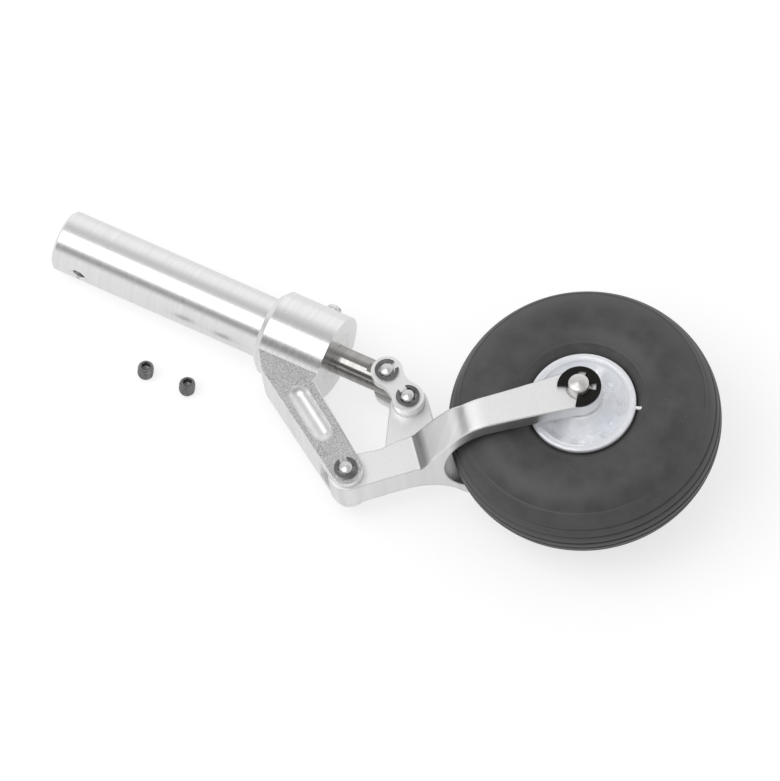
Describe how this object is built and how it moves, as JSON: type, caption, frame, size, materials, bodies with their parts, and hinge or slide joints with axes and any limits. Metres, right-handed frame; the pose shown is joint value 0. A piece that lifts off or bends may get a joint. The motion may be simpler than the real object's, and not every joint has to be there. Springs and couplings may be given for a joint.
{
  "type": "landing gear strut",
  "caption": "Trailing-link landing gear strut: tube with yoke, sprung rod and link, forked arm straddling a ribbed wheel, loose set screws beside it.",
  "frame": {"origin": "centre of the socket's mouth at the mount end of the strut tube", "axes": "+X along the tube towards the wheel, +Z along the pivot pins and the axle, trailing arm's pivot on the -Y side"},
  "size_m": [0.168, 0.0758, 0.0426],
  "materials": {
    "tube_aluminium": "turned, bright",
    "yoke_aluminium": "milled and bead blasted, chamfered edges",
    "arm_aluminium": "milled, satin",
    "rod_steel": "ground and polished",
    "pin_steel": "turned, bright",
    "clip_steel": "dark phosphate",
    "axle_clip_steel": "black oxide",
    "screw_steel": "black oxide",
    "bush_bronze": "turned",
    "bush_steel": "turned",
    "spring_steel": "drawn wire",
    "hub_plastic": "moulded, pearl grey, glossy",
    "tyre_rubber": "moulded, matt, ribbed tread"
  },
  "bodies": {
    "strut": {"strut_tube": "tube_aluminium", "yoke": "yoke_aluminium", "yoke_clamp_screw": "screw_steel", "rod_bush": "bush_steel", "spring": "spring_steel", "spring_seat": "bush_steel", "pivot_pin": "pin_steel", "pivot_pin_clips": "clip_steel", "loose_set_screws": "screw_steel"},
    "rod": {"piston_rod": "rod_steel", "piston": "bush_steel", "rod_pin": "pin_steel", "rod_pin_clips": "clip_steel"},
    "link": {"link_plate_near": "arm_aluminium", "link_plate_far": "arm_aluminium"},
    "arm": {"trailing_arm": "arm_aluminium", "arm_bush": "bush_bronze", "lug_pin": "pin_steel", "lug_pin_clips": "clip_steel", "axle": "pin_steel", "axle_clips": "axle_clip_steel", "axle_washers": "bush_steel"},
    "wheel": {"tyre": "tyre_rubber", "hub": "hub_plastic", "hub_bush": "bush_bronze"}
  },
  "joints": [
    {"name": "arm_pivot", "type": "hinge", "parent": "strut", "child": "arm", "pos_m": [0.0916, -0.0275, 0], "axis": [0, 0, 1], "range_deg": [0, 20], "stiffness_Nm_per_rad": 3},
    {"name": "rod_slide", "type": "slide", "parent": "strut", "child": "rod", "axis": [1, 0, 0], "range_m": [-0.0085, 0], "deforming": ["spring"]},
    {"name": "link_pivot", "type": "hinge", "parent": "rod", "child": "link", "pos_m": [0.088, 0, 0], "axis": [0, 0, 1], "range_deg": [-1, 4]},
    {"name": "wheel_spin", "type": "hinge", "parent": "arm", "child": "wheel", "pos_m": [0.1353, 0.011, 0], "axis": [0, 0, 1], "continuous": true}
  ],
  "couplings": [
    {"joint": "rod_slide", "follows": "arm_pivot", "m_per_rad": -0.02415},
    {"joint": "link_pivot", "follows": "arm_pivot", "ratio": 0.095}
  ]
}
